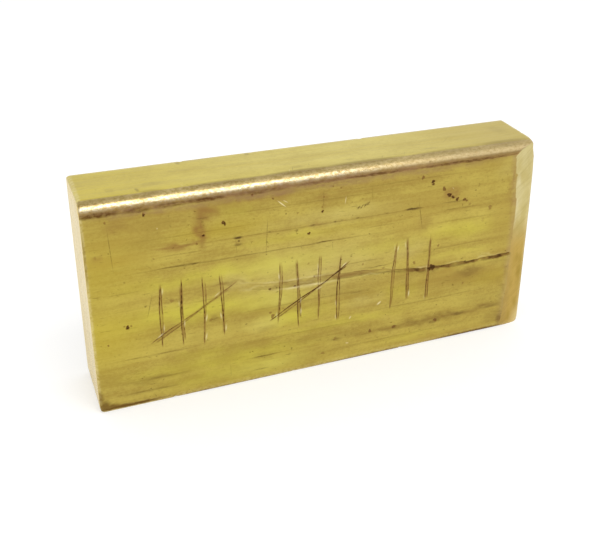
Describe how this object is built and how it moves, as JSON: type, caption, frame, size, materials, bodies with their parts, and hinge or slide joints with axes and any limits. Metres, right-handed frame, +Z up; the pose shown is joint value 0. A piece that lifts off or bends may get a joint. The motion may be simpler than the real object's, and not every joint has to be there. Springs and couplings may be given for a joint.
{
  "type": "metal ingot",
  "caption": "Rectangular brass bar ingot standing on its long narrow face, with a rolled top front edge, sawn ends and a filed bevel up its right front edge.",
  "frame": {"origin": "centre of the bounding box at the base, on the long narrow face that the ingot stands on", "axes": "+X along the bar towards the filed end, -Y towards the marked front face, +Z up"},
  "size_m": [0.115, 0.019, 0.0508],
  "materials": {
    "brass": "dull mill-rolled brass, lightly tarnished and scratched, rubbed bright on its edges and top"
  },
  "bodies": {
    "root": {"ingot": "brass"}
  },
  "joints": []
}
